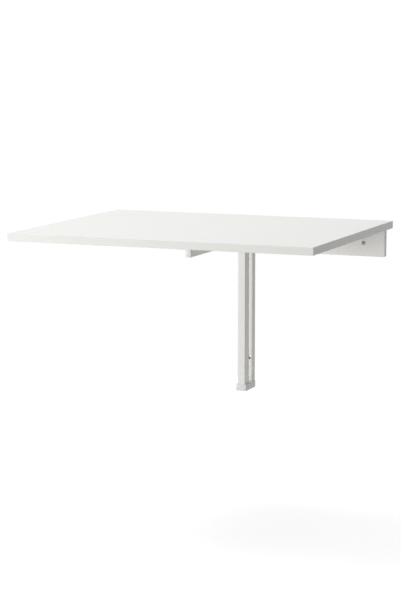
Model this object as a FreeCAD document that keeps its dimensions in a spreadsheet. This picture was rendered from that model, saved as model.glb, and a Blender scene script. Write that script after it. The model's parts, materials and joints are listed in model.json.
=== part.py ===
import FreeCAD, Part
import os
import Sketcher

# Wall mounted drop leaf table. X runs along the wall, +Y into the wall, +Z up, sizes in millimetres.
# The origin is on the wall, midway between the two screw holes of the wall rail.
# A fixed shelf stays on the wall. The leaf hangs on two hinges at the shelf's front edge and rests on
# an arm, which folds down with it in front of a steel frame.

SIZES = {
    # boards
    "table_width": 740,
    "table_depth": 600,
    "board_thickness": 18,
    "edging_thickness": 1,
    "edging_round": 0.5,
    "top_height": 56,
    "shelf_depth": 112,
    "seam_gap": 0.8,
    # wall rail
    "rail_width": 709,
    "rail_depth": 10,
    "rail_drop": 33.4,
    "rail_gauge": 1.5,
    "rail_corner": 5,
    "rail_bend": 3,
    "rail_flange": 36,
    "rail_hole_spacing": 598,
    "rail_hole": 6,
    "rail_cup": 10,
    "rail_notch_play": 0.5,
    "rail_screw_pitch": 190,
    # steel frame
    "post_width": 25,
    "post_depth": 15,
    "post_top": 20,
    "post_low_hole_drop": 304,
    "post_hole_spacing": 280,
    "post_screw_hole": 5.5,
    "post_slot_width": 16,
    "post_slot_height": 8,
    "post_slot_corner": 3.5,
    "upright_width": 20,
    "upright_depth": 28,
    "upright_gap": 21.8,
    "tube_wall": 1.5,
    "tube_corner": 1.5,
    "spacer_height": 32,
    "head_gauge": 2,
    "head_drop": 20,
    "head_corner": 12,
    "head_plate": 58,
    "head_plate_corner": 6,
    "head_screw_across": 42,
    "head_screw_pitch": 40,
    # foot
    "foot_width": 28,
    "foot_height": 16.5,
    "foot_overhang": 1,
    "foot_drop": 381.3,
    "foot_wall": 2.5,
    "foot_corner": 2,
    "foot_round": 1,
    "spigot_length": 22,
    "spigot_play": 0.1,
    # arm
    "arm_width": 15,
    "arm_height": 40,
    "arm_wall": 1.5,
    "arm_corner": 2,
    "arm_tip": 411,
    "cap_thickness": 4,
    "cap_round": 1.2,
    "plug_length": 16,
    "plug_play": 0.1,
    "glide_height": 2.7,
    "glide_width": 12,
    "glide_length": 30,
    "glide_setback": 10,
    "glide_corner": 4.8,
    "glide_peg": 6,
    "glide_peg_length": 7,
    "peg_play": 0.1,
    # pivot
    "pivot_gap": 22,
    "pivot_edge": 10,
    "pivot_pin": 8,
    "pin_play": 0.05,
    "bush_outer": 12,
    "bush_flange": 18,
    "bush_play": 0.15,
    "bush_split": 0.4,
    "bolt_head": 13,
    "bolt_head_height": 4.5,
    "bolt_head_round": 2.2,
    "bolt_socket": 5,
    "bolt_socket_depth": 3.2,
    "nut_across": 13,
    "nut_height": 8,
    # hinges, the offset being from the end of the boards to the middle of a hinge
    "hinge_offset": 120,
    "hinge_length": 60,
    "hinge_plate": 30,
    "hinge_gauge": 1.6,
    "hinge_drop": 3.4,
    "knuckle_outer": 6,
    "knuckle_play": 0.4,
    "hinge_pin": 3,
    "hinge_pin_play": 0.05,
    "hinge_screw_pitch": 20,
    "hinge_screw_inset": 9,
    # screws
    "screw_diameter": 4,
    "screw_length": 14,
    "screw_head": 7.6,
    "screw_head_height": 2.4,
    "screw_head_rim": 0.6,
    "countersink": 1.4,
    "pilot_play": 0.05,
    # how far a cut runs on past the face that it opens
    "overcut": 1,
}

KNUCKLES = 5

doc = FreeCAD.newDocument("DropLeafTable")
sheet = doc.addObject("Spreadsheet::Sheet", "Sizes")
for row, (alias, number) in enumerate(SIZES.items(), start=1):
    sheet.set(f"A{row}", alias)
    sheet.set(f"B{row}", str(number))
    sheet.setAlias(f"B{row}", alias)
doc.recompute()


def size(alias):
    """The expression for one cell of the sheet."""
    return f"Sizes.{alias}"


def value(expression):
    """What an expression on the sheet comes to."""
    return float(sheet.evalExpression(expression))


# Levels and lines that several pieces share, each worked out from the sheet.
TOP = size("top_height")
UNDER = f"({TOP} - {size('board_thickness')})"
ARM_TOP = f"({UNDER} - {size('glide_height')})"
UPRIGHT_BACK = f"(-{size('post_depth')} - {size('upright_gap')})"
UPRIGHT_FRONT = f"({UPRIGHT_BACK} - {size('upright_depth')})"
PIVOT_Y = f"({UPRIGHT_FRONT} - {size('pivot_gap')})"
PIVOT_Z = f"({ARM_TOP} - {size('arm_height')} / 2)"
HINGE_Y = f"(-{size('shelf_depth')} - {size('seam_gap')} / 2)"
HINGE_Z = f"({UNDER} - {size('hinge_drop')})"
LEAF_BACK = f"(-{size('shelf_depth')} - {size('seam_gap')})"
FOOT_TOP = f"({size('foot_height')} - {size('foot_drop')})"
HEAD_INSIDE = f"({size('upright_width')} / 2)"
HEAD_OUTSIDE = f"({HEAD_INSIDE} + {size('head_gauge')})"
RAIL_SCREW_Y = f"(-({size('rail_flange')} + {size('rail_depth')}) / 2)"
HEAD_FRONT = f"({PIVOT_Y} - {size('pivot_edge')})"
HEAD_MIDDLE = f"(({HEAD_FRONT} + {UPRIGHT_BACK}) / 2)"
PILOT = f"({size('screw_diameter')} / 2 + {size('pilot_play')})"

subparts = []


def place(thing, x="0", y="0", z="0"):
    """Put a piece where the sheet says."""
    for axis, where in zip("xyz", (x, y, z)):
        thing.setExpression(f".Placement.Base.{axis}", where)


def new_body(label, x="0", y="0", z="0"):
    """An empty body with its label and place."""
    made = doc.addObject("PartDesign::Body", label)
    made.Label = label
    place(made, x, y, z)
    subparts.append(made)
    return made


def new_sketch(body, plane, offset="0"):
    """An empty sketch on one of the body's own planes, moved along its normal."""
    made = body.newObject("Sketcher::SketchObject", f"{body.Name}_sketch")
    support = [p for p in body.Origin.OriginFeatures if p.Role == plane]
    made.AttachmentSupport = [(support[0], "")]
    made.MapMode = "FlatFace"
    made.setExpression(".AttachmentOffset.Base.z", offset)
    return made


def hold(sketch, edge, end, x, y):
    """Hold one point of a sketch at the sheet's x and y."""
    for kind, where in (("DistanceX", x), ("DistanceY", y)):
        number = sketch.addConstraint(Sketcher.Constraint(kind, -1, 1, edge, end, value(where)))
        sketch.setExpression(f"Constraints[{number}]", where)


def outline(sketch, points):
    """A closed outline of straight lines through points of the sheet."""
    corners = [FreeCAD.Vector(value(x), value(y), 0) for x, y in points]
    first = sketch.GeometryCount
    count = len(points)
    for n in range(count):
        sketch.addGeometry(Part.LineSegment(corners[n], corners[(n + 1) % count]))
    for n in range(count):
        following = first + (n + 1) % count
        sketch.addConstraint(Sketcher.Constraint("Coincident", first + n, 2, following, 1))
    for n, (x, y) in enumerate(points):
        hold(sketch, first + n, 1, x, y)


def rectangle(sketch, left, right, low, high):
    """A rectangle between four lines of the sheet."""
    outline(sketch, [(left, low), (right, low), (right, high), (left, high)])


def centred_rectangle(sketch, half_width, half_height):
    """A rectangle about the sketch's middle."""
    rectangle(sketch, f"-{half_width}", half_width, f"-{half_height}", half_height)


def circle(sketch, x, y, radius):
    """A circle about a point of the sheet."""
    round_edge = Part.Circle(FreeCAD.Vector(value(x), value(y), 0), FreeCAD.Vector(0, 0, 1), value(radius))
    edge = sketch.addGeometry(round_edge)
    hold(sketch, edge, 3, x, y)
    number = sketch.addConstraint(Sketcher.Constraint("Radius", edge, value(radius)))
    sketch.setExpression(f"Constraints[{number}]", radius)


def hexagon(sketch, across):
    """A hexagon about the sketch's middle, with the sheet's size across its flats."""
    corner = f"({across} / sqrt(3))"
    flat = f"({across} / 2)"
    points = [(corner, "0"), (f"{corner} / 2", flat), (f"-{corner} / 2", flat)]
    points += [(f"-{corner}", "0"), (f"-{corner} / 2", f"-{flat}"), (f"{corner} / 2", f"-{flat}")]
    outline(sketch, points)


def pad(body, sketch, length, midplane=False, reverse=False):
    """Add a sketch's profile to the body."""
    made = body.newObject("PartDesign::Pad", f"{body.Name}_pad")
    made.Profile = sketch
    made.setExpression("Length", length)
    made.Midplane = midplane
    made.Reversed = reverse
    doc.recompute()
    return made


def pocket(body, sketch, depth=None, midplane=False, reverse=False):
    """Cut a sketch's profile out of the body, right through where no depth is given."""
    before = body.Shape.Volume
    made = body.newObject("PartDesign::Pocket", f"{body.Name}_pocket")
    made.Profile = sketch
    made.Midplane = midplane
    made.Reversed = reverse
    if depth is None:
        made.Type = "ThroughAll"
    else:
        made.setExpression("Length", depth)
    doc.recompute()
    if not body.Shape.Volume < before:
        raise RuntimeError(f"a pocket of {body.Label} cuts nothing")
    return made


def round_edges(body, radius, chosen):
    """Fillet the edges of the body that a test picks by their bounding boxes."""
    base = body.Tip
    names = [f"Edge{n}" for n, edge in enumerate(base.Shape.Edges, start=1) if chosen(edge.BoundBox)]
    if not names:
        raise RuntimeError(f"{body.Label} has no edge to round")
    made = body.newObject("PartDesign::Fillet", f"{body.Name}_round")
    made.Base = (base, names)
    made.setExpression("Radius", radius)
    doc.recompute()
    return made


def bevel_edges(body, width, chosen):
    """Chamfer the edges of the body that a test picks by their bounding boxes."""
    base = body.Tip
    names = [f"Edge{n}" for n, edge in enumerate(base.Shape.Edges, start=1) if chosen(edge.BoundBox)]
    if not names:
        raise RuntimeError(f"{body.Label} has no edge to bevel")
    made = body.newObject("PartDesign::Chamfer", f"{body.Name}_bevel")
    made.Base = (base, names)
    made.setExpression("Size", width)
    doc.recompute()
    return made


def near(one, other):
    """Whether two sizes are the same, to a hair."""
    return abs(one - other) < 0.001


def upright_edge(box):
    """Whether an edge runs along Z."""
    return near(box.XMin, box.XMax) and near(box.YMin, box.YMax)


def screw_row(pitch, count):
    """How far each screw of a centred row is from the middle of the row."""
    return [f"({pitch} * {n - (count - 1) / 2})" for n in range(count)]


def board(label, left, right, back, front, holes):
    """A chipboard panel with pilot holes from below."""
    body = new_body(label, z=UNDER)
    face = new_sketch(body, "XY_Plane")
    rectangle(face, left, right, front, back)
    pad(body, face, size("board_thickness"))
    drill = new_sketch(body, "XY_Plane")
    for x, y in holes:
        circle(drill, x, y, PILOT)
    pocket(body, drill, size("screw_length"), reverse=True)
    return body


def edging(label, length, width, x, y, outside):
    """A strip of plastic edging, with its outer long edges rounded."""
    body = new_body(label, x, y, UNDER)
    face = new_sketch(body, "XY_Plane")
    rectangle(face, "0", length, "0", width)
    pad(body, face, size("board_thickness"))
    thick = value(size("board_thickness"))
    far = {"left": 0, "right": value(length), "front": 0, "back": value(width)}[outside]

    def outer(edge):
        level = near(edge.ZMin, edge.ZMax) and (near(edge.ZMin, 0) or near(edge.ZMin, thick))
        if outside in ("left", "right"):
            return level and near(edge.XMin, far) and near(edge.XMax, far)
        return level and near(edge.YMin, far) and near(edge.YMax, far)

    round_edges(body, size("edging_round"), outer)
    return body


HALF = f"({size('table_width')} / 2)"
CORE = f"({HALF} - {size('edging_thickness')})"
HINGE_SIDES = {"left": f"({size('hinge_offset')} - {HALF})", "right": f"({HALF} - {size('hinge_offset')})"}
HINGE_ROW = f"({size('hinge_plate')} - {size('hinge_screw_inset')})"


def hinge_screw_places(side):
    """Where one side's hinge screws go into a board: side is 1 towards the wall and -1 towards the front."""
    y = f"({HINGE_Y} + {side} * {HINGE_ROW})"
    row = screw_row(size("hinge_screw_pitch"), 3)
    return [(f"({middle} + {x})", y) for middle in HINGE_SIDES.values() for x in row]


RAIL_SCREWS = [(x, RAIL_SCREW_Y) for x in screw_row(size("rail_screw_pitch"), 4)]
HEAD_SCREW_ROWS = [f"({HEAD_MIDDLE} + {y})" for y in screw_row(size("head_screw_pitch"), 2)]
HEAD_SCREWS = [(x, y) for x in screw_row(size("head_screw_across"), 2) for y in HEAD_SCREW_ROWS]
SHELF_HINGE_SCREWS = hinge_screw_places(1)
LEAF_HINGE_SCREWS = hinge_screw_places(-1)


def make_boards():
    """The fixed shelf and the leaf, each with its edging."""
    strip = size("edging_thickness")
    shelf_front = f"(-{size('shelf_depth')})"
    shelf_holes = RAIL_SCREWS + HEAD_SCREWS + SHELF_HINGE_SCREWS
    board("shelf_panel", f"(-{CORE})", CORE, "0", f"({shelf_front} + {strip})", shelf_holes)
    edging("shelf_edging_front", size("table_width"), strip, f"(-{HALF})", shelf_front, "front")
    run = f"({size('shelf_depth')} - {strip})"
    edging("shelf_edging_left", strip, run, f"(-{HALF})", f"({shelf_front} + {strip})", "left")
    edging("shelf_edging_right", strip, run, CORE, f"({shelf_front} + {strip})", "right")
    leaf_front = f"(-{size('table_depth')})"
    leaf_holes = LEAF_HINGE_SCREWS
    back = f"({LEAF_BACK} - {strip})"
    board("leaf_panel", f"(-{CORE})", CORE, back, f"({leaf_front} + {strip})", leaf_holes)
    edging("leaf_edging_front", size("table_width"), strip, f"(-{HALF})", leaf_front, "front")
    edging("leaf_edging_back", size("table_width"), strip, f"(-{HALF})", back, "back")
    run = f"({size('table_depth')} + {back} - {strip})"
    edging("leaf_edging_left", strip, run, f"(-{HALF})", f"({leaf_front} + {strip})", "left")
    edging("leaf_edging_right", strip, run, CORE, f"({leaf_front} + {strip})", "right")


def make_rail():
    """The pressed steel rail on the wall: a shallow tray with a flange under the shelf."""
    body = new_body("wall_rail")
    half = f"({size('rail_width')} / 2)"
    gauge = size("rail_gauge")
    hole_x = f"({size('rail_hole_spacing')} / 2)"
    face = new_sketch(body, "XZ_Plane")
    rectangle(face, f"-{half}", half, f"-{size('rail_drop')}", UNDER)
    pad(body, face, size("rail_depth"))
    low = -value(size("rail_drop"))

    def low_corner(edge):
        along_y = near(edge.XMin, edge.XMax) and near(edge.ZMin, edge.ZMax)
        return along_y and near(edge.ZMin, low)

    round_edges(body, size("rail_corner"), low_corner)
    front = -value(size("rail_depth"))
    top = value(UNDER)

    def front_bend(edge):
        return near(edge.YMax, front) and not near(edge.ZMin, top)

    round_edges(body, size("rail_bend"), front_bend)
    inner = f"({half} - {gauge})"
    hollow = new_sketch(body, "XZ_Plane")
    rectangle(hollow, f"-{inner}", inner, f"({gauge} - {size('rail_drop')})", f"({UNDER} - {gauge})")
    for side in ("-", ""):
        circle(hollow, f"{side}{hole_x}", "0", f"({size('rail_cup')} / 2 + {gauge})")
    pocket(body, hollow, f"({size('rail_depth')} - {gauge})", reverse=True)
    flange = new_sketch(body, "XY_Plane", f"({UNDER} - {gauge})")
    rectangle(flange, f"-{half}", half, f"-{size('rail_flange')}", f"({gauge} - {size('rail_depth')})")
    pad(body, flange, gauge)
    cups = new_sketch(body, "XZ_Plane", size("rail_depth"))
    for side in ("-", ""):
        circle(cups, f"{side}{hole_x}", "0", f"({size('rail_cup')} / 2)")
    pocket(body, cups, f"({size('rail_depth')} - {gauge})")
    holes = new_sketch(body, "XZ_Plane", size("rail_depth"))
    for side in ("-", ""):
        circle(holes, f"{side}{hole_x}", "0", f"({size('rail_hole')} / 2)")
    pocket(body, holes)
    notch_half = f"({size('post_width')} / 2 + {size('rail_notch_play')})"
    notch = new_sketch(body, "XZ_Plane", size("rail_depth"))
    notch_top = f"({size('post_top')} + {size('rail_notch_play')})"
    rectangle(notch, f"-{notch_half}", notch_half, f"(-{size('rail_drop')} - {size('overcut')})", notch_top)
    pocket(body, notch)
    drill = new_sketch(body, "XY_Plane", UNDER)
    for x, y in RAIL_SCREWS:
        circle(drill, x, y, PILOT)
    pocket(body, drill, gauge)


def tube(label, width, depth, length, wall, x, y, z):
    """A rectangular steel tube along Z, with its back at y and rounded corners."""
    body = new_body(label, x, y, z)
    half = f"({width} / 2)"
    section = new_sketch(body, "XY_Plane")
    rectangle(section, f"-{half}", half, f"-{depth}", "0")
    rectangle(section, f"({wall} - {half})", f"({half} - {wall})", f"({wall} - {depth})", f"-{wall}")
    pad(body, section, length)
    side = value(half)
    far = value(depth)

    def outer_corner(edge):
        at_side = near(abs(edge.XMin), side)
        at_end = near(edge.YMin, 0) or near(edge.YMin, -far)
        return upright_edge(edge) and at_side and at_end

    round_edges(body, size("tube_corner"), outer_corner)
    return body


def make_frame():
    """The wall post, the upright before it, the spacer between them and the head over the upright."""
    wall = size("tube_wall")
    post_length = f"({size('post_top')} - {FOOT_TOP})"
    post = tube("wall_post", size("post_width"), size("post_depth"), post_length, wall, "0", "0", FOOT_TOP)
    low_hole = f"(-{size('post_low_hole_drop')} - {FOOT_TOP})"
    rows = [low_hole, f"({low_hole} + {size('post_hole_spacing')})"]
    slots = new_sketch(post, "XZ_Plane", size("post_depth"))
    across = f"({size('post_slot_width')} / 2)"
    rise = f"({size('post_slot_height')} / 2)"
    for z in rows:
        rectangle(slots, f"-{across}", across, f"({z} - {rise})", f"({z} + {rise})")
    pocket(post, slots, f"({size('post_depth')} / 2)")
    slot_end = value(across)

    def slot_corner(edge):
        along_y = near(edge.XMin, edge.XMax) and near(edge.ZMin, edge.ZMax)
        return along_y and near(abs(edge.XMin), slot_end)

    round_edges(post, size("post_slot_corner"), slot_corner)
    screws = new_sketch(post, "XZ_Plane", size("post_depth"))
    for z in rows:
        circle(screws, "0", z, f"({size('post_screw_hole')} / 2)")
    pocket(post, screws)
    upright_length = f"({UNDER} - {size('head_gauge')} - {FOOT_TOP})"
    tube(
        "upright", size("upright_width"), size("upright_depth"), upright_length, wall,
        "0", UPRIGHT_BACK, FOOT_TOP,
    )
    spacer_low = f"({size('post_top')} - {size('spacer_height')})"
    tube(
        "frame_spacer", size("upright_width"), size("upright_gap"), size("spacer_height"), wall,
        "0", f"-{size('post_depth')}", spacer_low,
    )
    make_head()


def make_head():
    """The head on the upright: two cheeks for the arm's pivot under a plate that is screwed to the shelf."""
    body = new_body("frame_head", "0", UPRIGHT_BACK, "0")
    web_low = f"({UNDER} - {size('head_gauge')})"
    low = f"(-{size('head_drop')})"
    reach = f"({UPRIGHT_BACK} - {HEAD_FRONT})"
    plate = new_sketch(body, "XY_Plane", web_low)
    half = f"({size('head_plate')} / 2)"
    rectangle(plate, f"-{half}", half, f"-{reach}", "0")
    pad(body, plate, size("head_gauge"))
    round_edges(body, size("head_plate_corner"), upright_edge)
    cheeks = new_sketch(body, "XZ_Plane")
    rectangle(cheeks, f"-{HEAD_OUTSIDE}", f"-{HEAD_INSIDE}", low, web_low)
    rectangle(cheeks, HEAD_INSIDE, HEAD_OUTSIDE, low, web_low)
    pad(body, cheeks, reach)
    front = -value(reach)
    bottom = value(low)

    def front_corner(edge):
        along_x = near(edge.YMin, edge.YMax) and near(edge.ZMin, edge.ZMax)
        return along_x and near(edge.YMin, front) and near(edge.ZMin, bottom)

    round_edges(body, size("head_corner"), front_corner)
    bore = new_sketch(body, "YZ_Plane")
    circle(bore, f"({PIVOT_Y} - {UPRIGHT_BACK})", PIVOT_Z, f"({size('pivot_pin')} / 2 + {size('pin_play')})")
    pocket(body, bore, midplane=True)
    drill = new_sketch(body, "XY_Plane", UNDER)
    for x, y in HEAD_SCREWS:
        circle(drill, x, f"({y} - {UPRIGHT_BACK})", PILOT)
    pocket(body, drill, size("head_gauge"))


def make_foot():
    """The plastic foot under the post and the upright, hollow below, with a spigot up into each tube."""
    body = new_body("foot", z=f"-{size('foot_drop')}")
    half = f"({size('foot_width')} / 2)"
    front = f"({UPRIGHT_FRONT} - {size('foot_overhang')})"
    wall = size("foot_wall")
    base = new_sketch(body, "XY_Plane")
    rectangle(base, f"-{half}", half, front, "0")
    pad(body, base, size("foot_height"))
    nose = value(front)

    def front_edge(edge):
        return upright_edge(edge) and near(edge.YMin, nose)

    round_edges(body, size("foot_corner"), front_edge)
    brim = value(size("foot_height"))

    def brim_edge(edge):
        at_top = near(edge.ZMin, brim) and near(edge.ZMax, brim)
        return at_top and not near(edge.YMin, 0)

    round_edges(body, size("foot_round"), brim_edge)
    inside = f"({half} - {wall})"
    cells = new_sketch(body, "XY_Plane")
    ribs = [f"({front} + {wall})", f"({UPRIGHT_BACK} - {wall} / 2)"]
    rectangle(cells, f"-{inside}", inside, ribs[0], ribs[1])
    back_cell = f"(-{size('post_depth')} - {wall} / 2)"
    rectangle(cells, f"-{inside}", inside, f"({UPRIGHT_BACK} + {wall} / 2)", back_cell)
    rectangle(cells, f"-{inside}", inside, f"({back_cell} + {wall})", f"-{wall}")
    pocket(body, cells, f"({size('foot_height')} - {wall})", reverse=True)
    margin = f"({size('tube_wall')} + {size('spigot_play')})"
    spigots = new_sketch(body, "XY_Plane", size("foot_height"))
    across = f"({size('upright_width')} / 2 - {margin})"
    rectangle(spigots, f"-{across}", across, f"({UPRIGHT_FRONT} + {margin})", f"({UPRIGHT_BACK} - {margin})")
    across = f"({size('post_width')} / 2 - {margin})"
    rectangle(spigots, f"-{across}", across, f"({margin} - {size('post_depth')})", f"-{margin}")
    pad(body, spigots, size("spigot_length"))


def make_arm():
    """The arm under the leaf: a tube with a round heel, an end cap, a glide and two bushes."""
    half = f"({size('arm_height')} / 2)"
    tube_end = f"({size('cap_thickness')} - {size('arm_tip')} - {PIVOT_Y})"
    body = new_body("arm_tube", "0", PIVOT_Y, PIVOT_Z)
    bar = new_sketch(body, "YZ_Plane")
    rectangle(bar, tube_end, "0", f"-{half}", half)
    pad(body, bar, size("arm_width"), midplane=True)
    heel = new_sketch(body, "YZ_Plane")
    circle(heel, "0", "0", half)
    pad(body, heel, size("arm_width"), midplane=True)
    side = value(size("arm_width")) / 2
    end = value(tube_end)

    def long_edge(edge):
        on_side = near(edge.XMin, edge.XMax) and near(abs(edge.XMin), side)
        return on_side and not near(edge.YMax, end)

    round_edges(body, size("arm_corner"), long_edge)
    wall = size("arm_wall")
    hollow = new_sketch(body, "YZ_Plane")
    rectangle(
        hollow, f"({tube_end} - {size('overcut')})", f"({half} + {size('overcut')})",
        f"({wall} - {half})", f"({half} - {wall})",
    )
    pocket(body, hollow, f"({size('arm_width')} - 2 * {wall})", midplane=True)
    bore = new_sketch(body, "YZ_Plane")
    circle(bore, "0", "0", f"({size('bush_outer')} / 2)")
    pocket(body, bore, midplane=True)
    glide_y = f"({tube_end} + {size('glide_setback')} + {size('glide_length')} / 2)"
    peg_hole = new_sketch(body, "XY_Plane", half)
    circle(peg_hole, "0", glide_y, f"({size('glide_peg')} / 2 + {size('peg_play')})")
    pocket(body, peg_hole, f"({wall} + {size('overcut')})")

    cap = new_body("arm_end_cap", "0", f"({PIVOT_Y} + {tube_end})", PIVOT_Z)
    face = new_sketch(cap, "XZ_Plane")
    across = f"({size('arm_width')} / 2)"
    centred_rectangle(face, across, half)
    pad(cap, face, size("cap_thickness"))
    thick = value(size("cap_thickness"))

    def cap_edge(edge):
        corner = near(edge.XMin, edge.XMax) and near(edge.ZMin, edge.ZMax)
        return corner or near(edge.YMax, -thick)

    round_edges(cap, size("cap_round"), cap_edge)
    plug = new_sketch(cap, "XZ_Plane")
    margin = f"({wall} + {size('plug_play')})"
    centred_rectangle(plug, f"({across} - {margin})", f"({half} - {margin})")
    pad(cap, plug, size("plug_length"), reverse=True)
    core = new_sketch(cap, "XZ_Plane", f"-{size('plug_length')}")
    deep = f"(2 * {wall} + {size('plug_play')})"
    centred_rectangle(core, f"({across} - {deep})", f"({half} - {deep})")
    pocket(cap, core, size("plug_length"), reverse=True)

    glide = new_body("arm_glide", "0", f"({PIVOT_Y} + {glide_y})", ARM_TOP)
    sole = new_sketch(glide, "XY_Plane")
    across = f"({size('glide_width')} / 2)"
    along = f"({size('glide_length')} / 2)"
    centred_rectangle(sole, across, along)
    pad(glide, sole, size("glide_height"))
    round_edges(glide, size("glide_corner"), upright_edge)
    peg = new_sketch(glide, "XY_Plane")
    circle(peg, "0", "0", f"({size('glide_peg')} / 2)")
    pad(glide, peg, size("glide_peg_length"), reverse=True)

    for name, turn in (("left", -1), ("right", 1)):
        bush = new_body(f"arm_bush_{name}", "0", PIVOT_Y, PIVOT_Z)
        bore = f"({size('pivot_pin')} / 2 + {size('pin_play')})"
        rim = f"({size('arm_width')} / 2)"
        barrel = new_sketch(bush, "YZ_Plane", f"({turn} * {size('bush_split')} / 2)")
        circle(barrel, "0", "0", f"({size('bush_outer')} / 2)")
        circle(barrel, "0", "0", bore)
        pad(bush, barrel, f"({rim} - {size('bush_split')} / 2)", reverse=turn < 0)
        flange = new_sketch(bush, "YZ_Plane", f"({turn} * {rim})")
        circle(flange, "0", "0", f"({size('bush_flange')} / 2)")
        circle(flange, "0", "0", bore)
        pad(bush, flange, f"({HEAD_INSIDE} - {rim} - {size('bush_play')})", reverse=turn < 0)


def make_pivot():
    """The bolt that the arm turns on, and its lock nut."""
    bolt = new_body("pivot_bolt", "0", PIVOT_Y, PIVOT_Z)
    shank = new_sketch(bolt, "YZ_Plane", f"-{HEAD_OUTSIDE}")
    circle(shank, "0", "0", f"({size('pivot_pin')} / 2)")
    pad(bolt, shank, f"(2 * {HEAD_OUTSIDE} + {size('nut_height')})")
    head = new_sketch(bolt, "YZ_Plane", f"-{HEAD_OUTSIDE}")
    circle(head, "0", "0", f"({size('bolt_head')} / 2)")
    pad(bolt, head, size("bolt_head_height"), reverse=True)
    outer = value(f"(-{HEAD_OUTSIDE} - {size('bolt_head_height')})")

    def head_rim(edge):
        return near(edge.XMin, edge.XMax) and near(edge.XMin, outer)

    round_edges(bolt, size("bolt_head_round"), head_rim)
    socket = new_sketch(bolt, "YZ_Plane", f"(-{HEAD_OUTSIDE} - {size('bolt_head_height')})")
    hexagon(socket, size("bolt_socket"))
    pocket(bolt, socket, size("bolt_socket_depth"), reverse=True)
    nut = new_body("pivot_nut", HEAD_OUTSIDE, PIVOT_Y, PIVOT_Z)
    face = new_sketch(nut, "YZ_Plane")
    hexagon(face, size("nut_across"))
    circle(face, "0", "0", f"({size('pivot_pin')} / 2 + {size('pin_play')})")
    pad(nut, face, size("nut_height"))


def hinge_half(label, middle, side, gaps):
    """One half of a hinge about its pin: side is 1 towards the wall and -1 towards the front."""
    body = new_body(label, middle, HINGE_Y, HINGE_Z)
    half = f"({size('hinge_length')} / 2)"
    radius = f"({size('knuckle_outer')} / 2)"
    flat = new_sketch(body, "XY_Plane", f"({size('hinge_drop')} - {size('hinge_gauge')})")
    edges = sorted(["0", f"({side} * {size('hinge_plate')})"], key=value)
    rectangle(flat, f"-{half}", half, edges[0], edges[1])
    pad(body, flat, size("hinge_gauge"))
    barrel = new_sketch(body, "YZ_Plane")
    circle(barrel, "0", "0", radius)
    pad(body, barrel, size("hinge_length"), midplane=True)
    pitch = f"({size('hinge_length')} / {KNUCKLES})"
    slots = new_sketch(body, "XY_Plane", size("hinge_drop"))
    reach = f"({radius} + {size('knuckle_play')})"
    for n in gaps:
        left = f"({n} * {pitch} - {half} - {size('knuckle_play')} / 2)"
        right = f"({n + 1} * {pitch} - {half} + {size('knuckle_play')} / 2)"
        rectangle(slots, left, right, f"-{reach}", reach)
    pocket(body, slots)
    bore = new_sketch(body, "YZ_Plane")
    circle(bore, "0", "0", f"({size('hinge_pin')} / 2 + {size('hinge_pin_play')})")
    pocket(body, bore, midplane=True)
    drill = new_sketch(body, "XY_Plane", size("hinge_drop"))
    for x in screw_row(size("hinge_screw_pitch"), 3):
        circle(drill, x, f"({side} * {HINGE_ROW})", PILOT)
    pocket(body, drill, size("hinge_gauge"))
    lower = value(f"({size('hinge_drop')} - {size('hinge_gauge')})")
    bore_width = 2 * value(PILOT)

    def hole_rim(edge):
        level = near(edge.ZMin, lower) and near(edge.ZMax, lower)
        return level and near(edge.XLength, bore_width) and near(edge.YLength, bore_width)

    bevel_edges(body, size("countersink"), hole_rim)


def make_hinges():
    """Two butt hinges under the seam, each of two halves and a pin."""
    even = list(range(0, KNUCKLES, 2))
    odd = list(range(1, KNUCKLES, 2))
    for name, middle in HINGE_SIDES.items():
        hinge_half(f"hinge_shelf_plate_{name}", middle, 1, odd)
        hinge_half(f"hinge_leaf_plate_{name}", middle, -1, even)
        pin = new_body(f"hinge_pin_{name}", middle, HINGE_Y, HINGE_Z)
        section = new_sketch(pin, "YZ_Plane")
        circle(section, "0", "0", f"({size('hinge_pin')} / 2)")
        pad(pin, section, size("hinge_length"), midplane=True)


def pan_screw():
    """The outline of a pan head screw, as radius and height above the metal that its head bears on."""
    shank = value(size("screw_diameter")) / 2
    head = value(size("screw_head")) / 2
    tip = value(size("screw_length"))
    low = -value(size("screw_head_height"))
    rim = value(size("screw_head_rim"))
    crown = head + low + rim
    return [(0, low), (crown, low), (head, -rim), (head, 0), (shank, 0), (shank, tip - shank), (0, tip)]


def countersunk_screw():
    """The outline of a countersunk screw, as radius and height above the lower face of the metal."""
    shank = value(size("screw_diameter")) / 2
    sink = value(size("countersink"))
    tip = value(size("screw_length"))
    return [(0, 0), (shank + sink, 0), (shank, sink), (shank, tip - shank), (0, tip)]


def screw_group(label, places, level, profile):
    """A group of like screws that go up into a board from the metal at level."""
    points = [FreeCAD.Vector(radius, 0, height) for radius, height in profile]
    face = Part.Face(Part.makePolygon(points + points[:1]))
    screw = face.revolve(FreeCAD.Vector(0, 0, 0), FreeCAD.Vector(0, 0, 1), 360)
    copies = []
    for x, y in places:
        copy = screw.copy()
        copy.translate(FreeCAD.Vector(value(x), value(y), 0))
        copies.append(copy)
    made = doc.addObject("Part::Feature", label)
    made.Label = label
    made.Shape = Part.makeCompound(copies)
    place(made, z=level)
    subparts.append(made)


def make_screws():
    """The screws that hold the rail, the head and the hinges to the boards."""
    screw_group("rail_screws", RAIL_SCREWS, f"({UNDER} - {size('rail_gauge')})", pan_screw())
    screw_group("head_screws", HEAD_SCREWS, f"({UNDER} - {size('head_gauge')})", pan_screw())
    hinge_level = f"({UNDER} - {size('hinge_gauge')})"
    screw_group("hinge_shelf_screws", SHELF_HINGE_SCREWS, hinge_level, countersunk_screw())
    screw_group("hinge_leaf_screws", LEAF_HINGE_SCREWS, hinge_level, countersunk_screw())


make_boards()
make_rail()
make_frame()
make_foot()
make_arm()
make_pivot()
make_hinges()
make_screws()
doc.recompute()

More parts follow.
